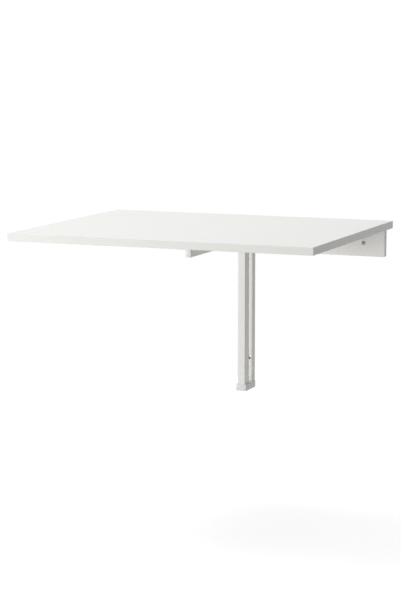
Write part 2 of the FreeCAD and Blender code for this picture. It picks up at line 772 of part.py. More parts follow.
for thing in doc.Objects:
    if "Invalid" in thing.State or "Error" in thing.State:
        raise RuntimeError(f"{thing.Label} failed: {thing.State}")
os.makedirs("parts", exist_ok=True)
for piece in subparts:
    if piece.Shape.isNull() or not piece.Shape.isValid():
        raise RuntimeError(f"{piece.Label} has no valid shape")
for piece in subparts:
    piece.Shape.exportStep(f"parts/{piece.Label}.step")
    box = piece.Shape.BoundBox
    extent = f"{box.XLength:.1f} x {box.YLength:.1f} x {box.ZLength:.1f} mm"
    print(f"{piece.Label}: {len(piece.Shape.Solids)} solids, {piece.Shape.Volume:.0f} mm3, {extent}")
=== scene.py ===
import json
import math

import bmesh
import bpy
from mathutils import Matrix, Vector


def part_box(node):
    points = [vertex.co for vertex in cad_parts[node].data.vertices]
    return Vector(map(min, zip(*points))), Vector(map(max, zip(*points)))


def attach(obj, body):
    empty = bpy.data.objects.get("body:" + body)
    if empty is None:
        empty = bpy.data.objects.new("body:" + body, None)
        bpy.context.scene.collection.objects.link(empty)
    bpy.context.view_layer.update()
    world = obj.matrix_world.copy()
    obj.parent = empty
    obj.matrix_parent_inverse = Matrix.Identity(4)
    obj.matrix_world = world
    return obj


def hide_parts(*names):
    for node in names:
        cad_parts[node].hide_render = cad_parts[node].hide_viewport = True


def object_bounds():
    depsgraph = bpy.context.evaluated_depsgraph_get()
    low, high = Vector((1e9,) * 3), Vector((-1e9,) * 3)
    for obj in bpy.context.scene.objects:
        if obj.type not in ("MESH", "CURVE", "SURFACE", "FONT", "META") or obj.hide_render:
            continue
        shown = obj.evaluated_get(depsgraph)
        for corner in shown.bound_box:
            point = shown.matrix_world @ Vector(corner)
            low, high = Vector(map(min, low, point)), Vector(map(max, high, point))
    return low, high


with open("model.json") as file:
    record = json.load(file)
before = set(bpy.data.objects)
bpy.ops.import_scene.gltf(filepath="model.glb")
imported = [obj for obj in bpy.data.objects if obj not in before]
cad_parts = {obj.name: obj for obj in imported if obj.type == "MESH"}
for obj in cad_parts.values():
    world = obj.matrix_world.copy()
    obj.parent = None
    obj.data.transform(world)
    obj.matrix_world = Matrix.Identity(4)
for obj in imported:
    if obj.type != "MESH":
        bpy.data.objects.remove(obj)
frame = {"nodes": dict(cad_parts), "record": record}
CAD_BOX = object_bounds()

bl_info = {
    "name": "Drop leaf wall table",
    "version": (1, 0, 0),
    "blender": (4, 5, 0),
    "location": "View3D > Sidebar > Drop leaf table",
    "description": "Finishes and fittings of a wall mounted drop leaf table",
    "category": "Object",
}

MM = 0.001
MERGE_DISTANCE = 0.002 * MM
SMOOTH_ANGLE = math.radians(35)
BEVEL_ANGLE = math.radians(40)
FACING = 0.9  # least part of a normal along an axis, for a face that looks that way
SPARE = MM  # how far a cutting body stands out of what it cuts
ROUND_STEPS = 48
HEX_STEPS = 6
X_AXIS = Vector((1, 0, 0))
Y_AXIS = Vector((0, 1, 0))
Z_AXIS = Vector((0, 0, 1))

FOIL_NODES = ("shelf_panel", "leaf_panel")
EDGING_NODES = (
    "shelf_edging_front", "shelf_edging_left", "shelf_edging_right",
    "leaf_edging_front", "leaf_edging_back", "leaf_edging_left", "leaf_edging_right",
)
RAIL_NODES = ("wall_rail", "arm_tube")
FRAME_NODES = ("wall_post", "upright", "frame_spacer", "frame_head")
ZINC_NODES = (
    "hinge_shelf_plate_left", "hinge_shelf_plate_right", "hinge_leaf_plate_left", "hinge_leaf_plate_right",
)
NYLON_NODES = ("arm_bush_left", "arm_bush_right", "arm_glide")
SIDES = ("left", "right")
SEEN_RAYS = ("Is Camera Ray", "Is Glossy Ray", "Is Transmission Ray")


def length(name, description, default, smallest=0.0):
    """A size in metres that a user may change."""
    return bpy.props.FloatProperty(
        name=name, description=description, default=default, min=smallest, unit="LENGTH", precision=5)


def brightness(name, description, default):
    """A strength of light that a user may change, 1 being white."""
    return bpy.props.FloatProperty(name=name, description=description, default=default, min=0, precision=3)


def wattage(name, description, default):
    """The power of a lamp that a user may change."""
    return bpy.props.FloatProperty(name=name, description=description, default=default, min=0, unit="POWER")


def position(name, description, default):
    """A place in metres that a user may change."""
    return bpy.props.FloatVectorProperty(name=name, description=description, default=default, unit="LENGTH")


def colour(name, description, default):
    """A linear colour that a user may change."""
    return bpy.props.FloatVectorProperty(
        name=name, description=description, default=default, min=0, max=1, size=3, subtype="COLOR")


class DropLeafFinishes(bpy.types.PropertyGroup):
    """Colours and textures of the surfaces."""

    foil: colour("Foil", "White foil on the boards", (0.83, 0.83, 0.805))
    edging: colour("Edging", "Plastic edging round the boards", (0.83, 0.83, 0.79))
    # Painted light: the frame's powder coat made lighter, to lift the rail and the arm in the shade of the
    # table top.
    rail: colour("Rail powder coat", "Powder coat on the rail and the arm", (0.89, 0.88, 0.85))
    steel: colour("Frame powder coat", "Powder coat on the frame", (0.80, 0.795, 0.765))
    foot: colour("Foot plastic", "Moulded plastic of the foot", (0.71, 0.71, 0.695))
    # Painted shade: the cap's white plastic made darker, to take back the lamp's light on its bevel.
    cap: colour("Cap plastic", "Moulded plastic of the arm's cap", (0.765, 0.765, 0.745))
    nylon: colour("Nylon", "Glide, bushes and the nut's insert", (0.76, 0.75, 0.68))
    zinc: colour("Zinc", "Zinc plate on hinges, screws and the pivot", (0.50, 0.52, 0.54))
    foil_grain: length("Foil grain", "Width of one grain of the foil's emboss", 0.6 * MM, 0.05 * MM)
    powder_peel: length("Powder peel", "Width of one wave of the powder coat", 1.8 * MM, 0.05 * MM)
    spark_grain: length("Mould grain", "Width of one grain of the moulded texture", 0.35 * MM, 0.05 * MM)


class DropLeafFittings(bpy.types.PropertyGroup):
    """Sizes of the modelled fittings."""

    soft_edge: length("Soft edge", "Rounding of moulded edges", 0.7 * MM)
    foot_wall: length("Foot wall", "Wall of the hollow foot", 2.5 * MM, 0.5 * MM)
    foot_corner: length("Foot corner", "Rounding of the foot's front corners", 2 * MM, 0.5 * MM)
    cap_crown: length("Cap crown", "How far the middle of the arm's cap stands out", 0.6 * MM)
    cap_rim: length("Cap rim", "Width of the rim round the arm's cap", 1.6 * MM, 0.2 * MM)
    cap_wall: length("Cap wall", "Wall of the hollow plug behind the arm's cap", 2 * MM, 0.5 * MM)
    pan_head: length("Pan head", "Width of a pan screw's head", 7.6 * MM, MM)
    pan_height: length("Pan height", "Height of a pan screw's head", 2.4 * MM, 0.5 * MM)
    sunk_head: length("Countersunk head", "Width of a countersunk screw's head", 6.8 * MM, MM)
    sunk_height: length("Countersink", "Height of a countersunk screw's head", 1.4 * MM, 0.2 * MM)
    screw_core: length("Screw core", "Width of a screw's core", 2.8 * MM, 0.5 * MM)
    screw_crest: length("Screw crest", "Width over a screw's thread", 4 * MM, 0.5 * MM)
    screw_length: length("Screw length", "Length of a screw above its head", 14 * MM, 2 * MM)
    thread_pitch: length("Thread pitch", "Distance between two turns of a thread", 1.6 * MM, 0.3 * MM)
    recess_width: length("Recess width", "Width of a screw's cross recess", 0.9 * MM, 0.1 * MM)
    recess_reach: length("Recess reach", "Length of a screw's cross recess", 4.2 * MM, 0.5 * MM)
    recess_depth: length("Recess depth", "Depth of a screw's cross recess", 1.6 * MM, 0.1 * MM)
    pivot_head: length("Pivot head", "Width of the pivot bolt's head", 13 * MM, MM)
    pivot_head_height: length("Pivot head height", "Height of the pivot bolt's head", 4.5 * MM, 0.5 * MM)
    pivot_shank: length("Pivot shank", "Width of the pivot bolt's shank", 8 * MM, MM)
    pivot_socket: length("Pivot socket", "Size of the hexagon socket across its flats", 5 * MM, 0.5 * MM)
    nut_across: length("Nut", "Size of the lock nut across its flats", 13 * MM, MM)
    nut_collar: length("Nut collar", "Height of the lock nut's collar", 2.4 * MM, 0.2 * MM)
    bead_radius: length("Weld bead", "Radius of a weld bead", 1.4 * MM, 0.2 * MM)
    bead_pitch: length("Weld ripple", "Distance from one ripple of a bead to the next", 1.6 * MM, 0.2 * MM)


class DropLeafStage(bpy.types.PropertyGroup):
    """Camera, floor and light."""

    camera_place: position("Camera place", "Where the camera stands", (1.6819, -4.4503, 0.5359))
    camera_turn: bpy.props.FloatVectorProperty(
        name="Camera turn", description="How the camera is turned", subtype="EULER",
        default=(math.radians(81.6645), 0.0, math.radians(22.2299)))
    focal_pixels: bpy.props.FloatProperty(
        name="Focal length", description="Focal length in pixels of the picture's height", default=1901.2)
    picture_height: bpy.props.IntProperty(
        name="Picture height", description="Height of the picture in pixels", default=601)
    table_height: length("Table height", "How high the table top hangs over the floor", 0.74)
    floor_width: length("Floor width", "Side of the floor", 3.2)
    floor_tone: brightness("Floor tone", "Lightness of the floor", 0.8)
    floor_glow: brightness("Floor glow", "Light that the floor adds to what is seen of it", 0.5)
    spot_width: length("Wall spot", "Width of the wall that shows through a hole of the rail", 10 * MM)
    key_power: wattage("Key power", "Power of the lamp above", 32.0)
    key_place: position("Key place", "Where the lamp above hangs", (-1.0, -0.6, 2.4))
    front_power: wattage("Front power", "Power of the lamp in front", 312.0)
    front_place: position("Front place", "Where the lamp in front stands", (-4.6, -5.2, 0.0))
    lamp_width: length("Lamp width", "Side of a lamp", 1.6)
    light_above: brightness("Light from above", "Light that grows towards the zenith", 0.84)
    light_below: brightness("Light from below", "Light that grows towards the ground", 0.25)


class Signal:
    """A value, colour or vector on its way through a node tree. Maths on values becomes Math nodes."""

    def __init__(self, tree, socket):
        self.tree = tree
        self.socket = socket

    def maths(self, operation, first, second):
        """A Math node on two values."""
        return self.tree.add("ShaderNodeMath", {"operation": operation}, {0: first, 1: second})

    def __add__(self, other):
        return self.maths("ADD", self, other)

    def __radd__(self, other):
        return self.maths("ADD", other, self)

    def __sub__(self, other):
        return self.maths("SUBTRACT", self, other)

    def __rsub__(self, other):
        return self.maths("SUBTRACT", other, self)

    def __mul__(self, other):
        return self.maths("MULTIPLY", self, other)

    def __rmul__(self, other):
        return self.maths("MULTIPLY", other, self)


class Nodes:
    """A node tree under construction."""

    def __init__(self, tree):
        self.tree = tree
        tree.nodes.clear()

    def add(self, kind, settings=None, sockets=None, out=0):
        """Add a node: its settings first, then its sockets' values or links. Gives one of its outputs."""
        node = self.tree.nodes.new(kind)
        for name, setting in (settings or {}).items():
            setattr(node, name, setting)
        for name, given in (sockets or {}).items():
            if isinstance(given, Signal):
                self.tree.links.new(given.socket, node.inputs[name])
            else:
                node.inputs[name].default_value = given
        return Signal(self, node.outputs[out]) if node.outputs else None

    def place(self):
        """The place on the piece, in metres."""
        return self.add("ShaderNodeTexCoord", out="Object")

    def stretched(self, scale):
        """The place on the piece, stretched along each axis."""
        return self.add("ShaderNodeMapping", None, {"Vector": self.place(), "Scale": scale})

    def noise(self, width, detail=2.0, where=None):
        """Noise whose waves are about so wide, about one half on the whole."""
        sockets = {"Vector": where or self.place(), "Scale": 1 / width, "Detail": detail, "Roughness": 0.55}
        return self.add("ShaderNodeTexNoise", None, sockets)

    def tint(self, factor, first, second):
        """A colour between two, by a factor."""
        sockets = {0: factor, 6: (*first, 1), 7: (*second, 1)}
        return self.add("ShaderNodeMix", {"data_type": "RGBA"}, sockets, out=2)

    def bump(self, height, depth):
        """A normal from a height between 0 and 1 that stands for so much depth."""
        return self.add("ShaderNodeBump", None, {"Height": height, "Distance": depth, "Strength": 1.0})

    def positive(self, value):
        """A value, or 0 where it is less."""
        return self.add("ShaderNodeMath", {"operation": "MAXIMUM"}, {0: value, 1: 0.0})

    def seen(self):
        """1 for what the camera sees, directly or by a reflection, and 0 for light on the object."""
        rays = [self.add("ShaderNodeLightPath", out=kind) for kind in SEEN_RAYS]
        return self.add("ShaderNodeMath", {"operation": "MINIMUM"}, {0: rays[0] + rays[1] + rays[2], 1: 1.0})


def shaded(base, factor):
    """A colour made lighter or darker."""
    return tuple(min(1.0, channel * factor) for channel in base)


def blank_material(name):
    """A new material, and its empty node tree."""
    made = bpy.data.materials.new(name)
    made.use_nodes = True
    return made, Nodes(made.node_tree)


def finish_material(name, recipe):
    """A material of this name, whose shader sockets come from a recipe. It is made once."""
    found = bpy.data.materials.get(name)
    if found:
        return found
    made, nodes = blank_material(name)
    shader = nodes.add("ShaderNodeBsdfPrincipled", None, recipe(nodes))
    nodes.add("ShaderNodeOutputMaterial", None, {"Surface": shader})
    return made


def white_foil(finishes):
    """Printed white foil with a pearled emboss and a faint cloudiness."""
    cloud_width, ripple_width, emboss = 90 * MM, 30 * MM, 0.02 * MM

    def recipe(nodes):
        cloud = nodes.noise(cloud_width, 3.0)
        grain = nodes.noise(finishes.foil_grain, 2.0)
        ripple = nodes.noise(ripple_width, 1.0)
        return {
            "Base Color": nodes.tint(cloud, shaded(finishes.foil, 0.985), shaded(finishes.foil, 1.015)),
            "Roughness": 0.40 + 0.10 * (grain - 0.5) + 0.05 * (ripple - 0.5),
            "Normal": nodes.bump(grain * 0.8 + ripple * 0.2, emboss),
            "Specular IOR Level": 0.45,
        }
    return finish_material("white_foil", recipe)


def plastic_edging(finishes):
    """Plastic edging with fine lines along its length."""
    lines_per_metre, grain_width, depth = (9, 9, 1400), 0.4 * MM, 0.01 * MM

    def recipe(nodes):
        lines = nodes.noise(1.0, 3.0, nodes.stretched(lines_per_metre))
        grain = nodes.noise(grain_width, 1.0)
        return {
            "Base Color": nodes.tint(lines, shaded(finishes.edging, 0.965), shaded(finishes.edging, 1.025)),
            "Roughness": 0.42 + 0.12 * (lines - 0.5),
            "Normal": nodes.bump(lines * 0.7 + grain * 0.3, depth),
            "Specular IOR Level": 0.4,
        }
    return finish_material("plastic_edging", recipe)


def white_powder(name, base, peel_width):
    """White powder coat with its orange peel and fine specks."""
    speck_width, cloud_width, peel_depth = peel_width / 6, 50 * MM, 0.06 * MM

    def recipe(nodes):
        peel = nodes.noise(peel_width, 2.0)
        speck = nodes.noise(speck_width, 1.0)
        cloud = nodes.noise(cloud_width, 2.0)
        return {
            "Base Color": nodes.tint(cloud * 0.5 + speck * 0.5, shaded(base, 0.97), shaded(base, 1.03)),
            "Roughness": 0.34 + 0.16 * (speck - 0.5) + 0.08 * (cloud - 0.5),
            "Normal": nodes.bump(peel * 0.85 + speck * 0.15, peel_depth),
            "Specular IOR Level": 0.5,
        }
    return finish_material(name, recipe)


def frame_powder(finishes):
    """The powder coat of the frame and its weld beads."""
    return white_powder("frame_powder", finishes.steel, finishes.powder_peel)


def moulded_plastic(name, base, spark_grain):
    """White plastic with the fine grain of a spark eroded mould."""
    flow_width, grain_depth = 18 * MM, 0.008 * MM

    def recipe(nodes):
        grain = nodes.noise(spark_grain, 2.0)
        flow = nodes.noise(flow_width, 2.0)
        return {
            "Base Color": nodes.tint(flow, shaded(base, 0.97), shaded(base, 1.03)),
            "Roughness": 0.42 + 0.16 * (grain - 0.5),
            "Normal": nodes.bump(grain, grain_depth),
            "Specular IOR Level": 0.7,
        }
    return finish_material(name, recipe)


def natural_nylon(finishes):
    """Undyed nylon, a little milky."""
    milk_width, grain_width, grain_depth = 6 * MM, 0.3 * MM, 0.008 * MM

    def recipe(nodes):
        milk = nodes.noise(milk_width, 3.0)
        grain = nodes.noise(grain_width, 1.0)
        return {
            "Base Color": nodes.tint(milk, shaded(finishes.nylon, 0.96), shaded(finishes.nylon, 1.04)),
            "Roughness": 0.44 + 0.12 * (grain - 0.5),
            "Normal": nodes.bump(grain, grain_depth),
            "Specular IOR Level": 0.5,
        }
    return finish_material("natural_nylon", recipe)


def zinc_plate(finishes):
    """Bright zinc plate with faint clouds and rolling lines."""
    cloud_width, lines_per_metre, line_depth = 12 * MM, (60, 2200, 2200), 0.005 * MM
    warm = tuple(channel * tone for channel, tone in zip(finishes.zinc, (1.14, 1.10, 1.04)))

    def recipe(nodes):
        cloud = nodes.noise(cloud_width, 3.0)
        lines = nodes.noise(1.0, 2.0, nodes.stretched(lines_per_metre))
        return {
            "Base Color": nodes.tint(cloud, shaded(finishes.zinc, 0.90), warm),
            "Roughness": 0.32 + 0.16 * (lines - 0.5) + 0.16 * (cloud - 0.5),
            "Normal": nodes.bump(lines, line_depth),
            "Metallic": 1.0,
        }
    return finish_material("zinc_plate", recipe)


def paint(names, material):
    """Give CAD nodes a material through their slots."""
    for name in names:
        node = frame["nodes"][name]
        if not node.material_slots:
            node.data.materials.append(material)
        for slot in node.material_slots:
            slot.material = material


def clear_selection():
    """Leave edit mode and deselect every object."""
    if bpy.context.mode != "OBJECT":
        bpy.ops.object.mode_set(mode="OBJECT")
    bpy.ops.object.select_all(action="DESELECT")


def choose(piece):
    """Make a piece the only one selected, and active."""
    clear_selection()
    piece.select_set(True)
    bpy.context.view_layer.objects.active = piece


def discard(piece):
    """Delete a piece that was only a tool or a model for copies."""
    choose(piece)
    bpy.ops.object.delete()


def settle(piece, name):
    """Put the place, turn and scale of a piece into its mesh, and name it."""
    choose(piece)
    bpy.ops.object.transform_apply(location=True, rotation=True, scale=True)
    piece.name = name
    return piece


def add_box(name, low, high):
    """A box between two corners."""
    low, high = Vector(low), Vector(high)
    clear_selection()
    bpy.ops.mesh.primitive_cube_add(size=1, location=(low + high) / 2, scale=high - low)
    return settle(bpy.context.object, name)


def open_mesh(piece):
    """Go into edit mode on a piece with nothing selected."""
    choose(piece)
    bpy.ops.object.mode_set(mode="EDIT")
    bpy.ops.mesh.select_mode(type="VERT")
    bpy.ops.mesh.select_all(action="DESELECT")


def close_mesh():
    """Go back to object mode."""
    bpy.ops.object.mode_set(mode="OBJECT")


def pick_faces(test):
    """Select the faces of the open mesh whose middle and normal pass a test."""
    mesh = bmesh.from_edit_mesh(bpy.context.edit_object.data)
    bpy.ops.mesh.select_mode(type="FACE")
    bpy.ops.mesh.select_all(action="DESELECT")
    found = [face for face in mesh.faces if test(face.calc_center_median(), face.normal)]
    if not found:
        raise RuntimeError(f"{bpy.context.edit_object.name} has no such face")
    for face in found:
        face.select_set(True)
    bmesh.update_edit_mesh(bpy.context.edit_object.data)


def pick_edges(test):
    """Select the edges of the open mesh whose two ends pass a test."""
    mesh = bmesh.from_edit_mesh(bpy.context.edit_object.data)
    bpy.ops.mesh.select_mode(type="EDGE")
    bpy.ops.mesh.select_all(action="DESELECT")
    found = [edge for edge in mesh.edges if test(edge.verts[0].co, edge.verts[1].co)]
    if not found:
        raise RuntimeError(f"{bpy.context.edit_object.name} has no such edge")
    for edge in found:
        edge.select_set(True)
    bmesh.update_edit_mesh(bpy.context.edit_object.data)


def merge_doubles(piece):
    """Merge the points of a piece that lie on each other."""
    open_mesh(piece)
    bpy.ops.mesh.select_all(action="SELECT")
    bpy.ops.mesh.remove_doubles(threshold=MERGE_DISTANCE)
    close_mesh()


def combine(piece, tool, operation):
    """Join a piece with a tool body, cut the tool out of it, or keep what they share."""
    choose(piece)
    modifier = piece.modifiers.new("combine", "BOOLEAN")
    modifier.operation = operation
    modifier.object = tool
    modifier.solver = "EXACT"
    bpy.ops.object.modifier_apply(modifier=modifier.name)
    discard(tool)
    merge_doubles(piece)


def soften(piece, width, segments=3):
    """Round the sharp edges of a piece and shade it smooth over them."""
    choose(piece)
    modifier = piece.modifiers.new("soften", "BEVEL")
    modifier.width = width
    modifier.segments = segments
    modifier.limit_method = "ANGLE"
    modifier.angle_limit = BEVEL_ANGLE
    bpy.ops.object.modifier_apply(modifier=modifier.name)
    merge_doubles(piece)
    smooth(piece)


def turned(name, rings, segments=40, start=(0, 0, 0), axis=Z_AXIS):
    """A turned piece: rings of (distance along the axis, radius) from start, closed at both ends."""
    clear_selection()
    first, radius = rings[0]
    bpy.ops.mesh.primitive_circle_add(
        vertices=segments, radius=radius, fill_type="NOTHING", location=(0, 0, first))
    piece = settle(bpy.context.object, name)
    open_mesh(piece)
    bpy.ops.mesh.select_all(action="SELECT")
    for (low, narrow), (high, wide) in zip(rings, rings[1:]):
        bpy.ops.mesh.extrude_region_move(TRANSFORM_OT_translate={"value": (0, 0, high - low)})
        ratio = wide / narrow
        bpy.ops.transform.resize(value=(ratio, ratio, 1), center_override=(0, 0, high))
    bpy.ops.mesh.select_all(action="SELECT")
    bpy.ops.mesh.fill_holes(sides=0)
    bpy.ops.mesh.normals_make_consistent(inside=False)
    close_mesh()
    turn = Z_AXIS.rotation_difference(axis).to_matrix().to_4x4()
    piece.matrix_world = Matrix.Translation(start) @ turn
    return settle(piece, name)


def smooth(piece):
    """Shade a piece smooth, but for its sharp edges."""
    choose(piece)
    bpy.ops.object.shade_smooth_by_angle(angle=SMOOTH_ANGLE)


def copy_of(piece, name, shift, turn=0.0):
    """A copy of a piece with its own mesh, turned about the vertical at its origin and moved."""
    choose(piece)
    bpy.ops.object.duplicate(linked=False)
    made = bpy.context.object
    made.matrix_world = Matrix.Translation(shift) @ Matrix.Rotation(turn, 4, "Z")
    return settle(made, name)


def test_closed(piece):
    """Stop if a piece has an open edge or is inside out."""
    mesh = bmesh.new()
    mesh.from_mesh(piece.data)
    sound = all(edge.is_manifold for edge in mesh.edges) and mesh.calc_volume(signed=True) > 0
    mesh.free()
    if not sound:
        raise RuntimeError(f"{piece.name} is not a closed body")


def fit(piece, body, slot, material, *nodes):
    """Give a finished piece its material, the body that it rides on and the CAD nodes that it stands for."""
    test_closed(piece)
    piece.data.materials.clear()
    piece.data.materials.append(material)
    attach(piece, body)
    if nodes:
        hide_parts(*nodes)


def body_of(node):
    """The body that carries a CAD node."""
    return next(body for body, nodes in frame["record"]["behaviour"]["bodies"].items() if node in nodes)


class DROPLEAF_OT_paint_boards(bpy.types.Operator):
    """Put foil on the boards and finish their edging"""

    bl_idname = "drop_leaf.paint_boards"
    bl_label = "Boards"

    def execute(self, context):
        finishes = context.scene.drop_leaf_finishes
        paint(FOIL_NODES, white_foil(finishes))
        paint(EDGING_NODES, plastic_edging(finishes))
        return {"FINISHED"}


class DROPLEAF_OT_paint_steel(bpy.types.Operator):
    """Powder coat the rail, the frame and the arm; the rail and the arm get a lighter copy of the coat,
    painted light
    """

    bl_idname = "drop_leaf.paint_steel"
    bl_label = "Steel frame"

    def execute(self, context):
        finishes = context.scene.drop_leaf_finishes
        # The rail and the arm take the lighter copy of the powder coat: painted light for the shade under
        # the table top.
        paint(RAIL_NODES, white_powder("rail_powder_painted_light", finishes.rail, finishes.powder_peel))
        paint(FRAME_NODES, frame_powder(finishes))
        return {"FINISHED"}


class DROPLEAF_OT_paint_fittings(bpy.types.Operator):
    """Finish the hinges, the bushes and the glide"""

    bl_idname = "drop_leaf.paint_fittings"
    bl_label = "Hinges and bushes"

    def execute(self, context):
        finishes = context.scene.drop_leaf_finishes
        paint(ZINC_NODES, zinc_plate(finishes))
        paint(NYLON_NODES, natural_nylon(finishes))
        return {"FINISHED"}


class DROPLEAF_OT_add_foot(bpy.types.Operator):
    """Model the moulded foot under the frame"""

    bl_idname = "drop_leaf.add_foot"
    bl_label = "Foot"

    def execute(self, context):
        fittings = context.scene.drop_leaf_fittings
        low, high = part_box("foot")
        post_low, post_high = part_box("wall_post")
        upright_low, upright_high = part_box("upright")
        top = post_low.z
        wall = fittings.foot_wall
        foot = add_box("foot_moulding", low, (high.x, high.y, top))
        open_mesh(foot)
        pick_edges(lambda a, b: max(a.y, b.y) < low.y + SPARE and abs(a.z - b.z) > SPARE)
        bpy.ops.mesh.bevel(offset=fittings.foot_corner, segments=6, affect="EDGES")
        close_mesh()
        soften(foot, fittings.soft_edge)
        walls = [low.y + wall / 2, upright_high.y, post_low.y, high.y - wall / 2]
        for front, back in zip(walls, walls[1:]):
            cell = add_box(
                "cell", (low.x + wall, front + wall / 2, low.z - wall),
                (high.x - wall, back - wall / 2, top - wall))
            combine(foot, cell, "DIFFERENCE")
        for near, far in ((upright_low, upright_high), (post_low, post_high)):
            spigot = add_box(
                "spigot", (near.x + wall, near.y + wall, top - wall / 2),
                (far.x - wall, far.y - wall, high.z))
            combine(foot, spigot, "UNION")
        smooth(foot)
        finishes = context.scene.drop_leaf_finishes
        plastic = moulded_plastic("foot_plastic", finishes.foot, finishes.spark_grain)
        fit(foot, body_of("foot"), "plastic", plastic, "foot")
        return {"FINISHED"}


class DROPLEAF_OT_add_arm_cap(bpy.types.Operator):
    """Model the crowned cap in the end of the arm"""

    bl_idname = "drop_leaf.add_arm_cap"
    bl_label = "Arm cap"

    def execute(self, context):
        fittings = context.scene.drop_leaf_fittings
        low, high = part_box("arm_end_cap")
        tube_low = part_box("arm_tube")[0]
        cap = add_box(
            "arm_cap_moulding", (low.x, low.y + fittings.cap_crown, low.z), (high.x, tube_low.y, high.z))
        open_mesh(cap)
        pick_faces(lambda middle, normal: normal.y < -FACING)
        bpy.ops.mesh.inset(thickness=fittings.cap_rim, depth=fittings.cap_crown)
        close_mesh()
        soften(cap, fittings.soft_edge)
        wall = fittings.cap_wall
        plug = add_box(
            "plug", (low.x + wall, tube_low.y - SPARE, low.z + wall),
            (high.x - wall, high.y, high.z - wall))
        combine(cap, plug, "UNION")
        hollow = add_box(
            "hollow", (low.x + 2 * wall, tube_low.y, low.z + 2 * wall),
            (high.x - 2 * wall, high.y + wall, high.z - 2 * wall))
        combine(cap, hollow, "DIFFERENCE")
        smooth(cap)
        finishes = context.scene.drop_leaf_finishes
        # The cap's plastic is darkened: painted shade against the lamp's light on its bevel.
        plastic = moulded_plastic("cap_plastic_painted_shade", finishes.cap, finishes.spark_grain)
        fit(cap, body_of("arm_end_cap"), "plastic", plastic, "arm_end_cap")
        return {"FINISHED"}


def spread(low, high, count):
    """So many places from low to high, evenly apart."""
    if count == 1:
        return [(low + high) / 2]
    return [low + (high - low) * n / (count - 1) for n in range(count)]


def head_grid(node, head, columns, rows):
    """Where the outer faces of a grid of screw heads are, from the box of their CAD node."""
    low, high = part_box(node)
    across = spread(low.x + head / 2, high.x - head / 2, columns)
    along = spread(low.y + head / 2, high.y - head / 2, rows)
    return [Vector((x, y, low.z)) for x in across for y in along]


def hinge_heads(node, plates, head):
    """Where the outer faces of the screw heads in two hinge plates are."""
    low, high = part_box(node)
    places = []
    for plate in plates:
        near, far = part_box(plate)
        middle = (near.x + far.x) / 2
        pitch = high.x - head / 2 - abs(middle)
        places += [Vector((middle + step * pitch, (low.y + high.y) / 2, low.z)) for step in (-1, 0, 1)]
    return places


def shank_rings(fittings, bearing, base):
    """Rings of a threaded shank with a point, from the bearing face of a head up to its tip."""
    core, crest, pitch = fittings.screw_core / 2, fittings.screw_crest / 2, fittings.thread_pitch
    tip = bearing + fittings.screw_length
    rings = [(base, core)]
    turn = base + 0.5 * MM
    while turn + pitch < tip - 2 * core:
        rings += [(turn + share * pitch, wide)
                  for share, wide in ((0, core), (0.35, crest), (0.45, crest), (0.8, core))]
        turn += pitch
    return rings + [(tip - core, 0.8 * core), (tip, 0.1 * core)]


def cut_recess(screw, fittings):
    """Cut a tapered cross recess up into a head whose outer face is at height 0."""
    half, reach, deep = fittings.recess_width / 2, fittings.recess_reach / 2, fittings.recess_depth
    taper = 0.55
    for across, along in ((reach, half), (half, reach)):
        slot = add_box("recess", (-across, -along, -SPARE), (across, along, deep))
        open_mesh(slot)
        pick_faces(lambda middle, normal: normal.z > FACING)
        bpy.ops.transform.resize(value=(taper, taper, 1), center_override=(0, 0, deep))
        close_mesh()
        combine(screw, slot, "DIFFERENCE")
    smooth(screw)


def drive(screw, name, node, places, material):
    """Copy a screw to each of its places, each turned another way, in the stead of a CAD node."""
    turn = 2.4
    for number, spot in enumerate(places, start=1):
        made = copy_of(screw, f"{name}_{number}", spot, turn * number)
        fit(made, body_of(node), "zinc", material, node)


class DROPLEAF_OT_add_pan_screws(bpy.types.Operator):
    """Model the pan head screws that hold the rail and the head of the frame"""

    bl_idname = "drop_leaf.add_pan_screws"
    bl_label = "Pan head screws"

    def execute(self, context):
        fittings = context.scene.drop_leaf_fittings
        head, high = fittings.pan_head / 2, fittings.pan_height
        dome = [(0, 0.42), (0.03, 0.62), (0.12, 0.78), (0.30, 0.91), (0.55, 0.985), (0.85, 1), (1, 0.97)]
        rings = [(share * high, wide * head) for share, wide in dome]
        screw = turned("pan_screw", rings + shank_rings(fittings, high, high))
        cut_recess(screw, fittings)
        zinc = zinc_plate(context.scene.drop_leaf_finishes)
        drive(screw, "rail_screw", "rail_screws", head_grid("rail_screws", fittings.pan_head, 4, 1), zinc)
        drive(screw, "head_screw", "head_screws", head_grid("head_screws", fittings.pan_head, 2, 2), zinc)
        discard(screw)
        return {"FINISHED"}


class DROPLEAF_OT_add_hinge_screws(bpy.types.Operator):
    """Model the countersunk screws in the hinge plates"""

    bl_idname = "drop_leaf.add_hinge_screws"
    bl_label = "Hinge screws"

    def execute(self, context):
        fittings = context.scene.drop_leaf_fittings
        head, high = fittings.sunk_head / 2, fittings.sunk_height
        rings = [(0, 0.95 * head), (0.06 * MM, head), (0.2 * MM, head)]
        screw = turned("sunk_screw", rings + shank_rings(fittings, 0, high))
        cut_recess(screw, fittings)
        zinc = zinc_plate(context.scene.drop_leaf_finishes)
        for part in ("shelf", "leaf"):
            node = f"hinge_{part}_screws"
            plates = [f"hinge_{part}_plate_{side}" for side in SIDES]
            drive(screw, f"hinge_{part}_screw", node, hinge_heads(node, plates, fittings.sunk_head), zinc)
        discard(screw)
        return {"FINISHED"}


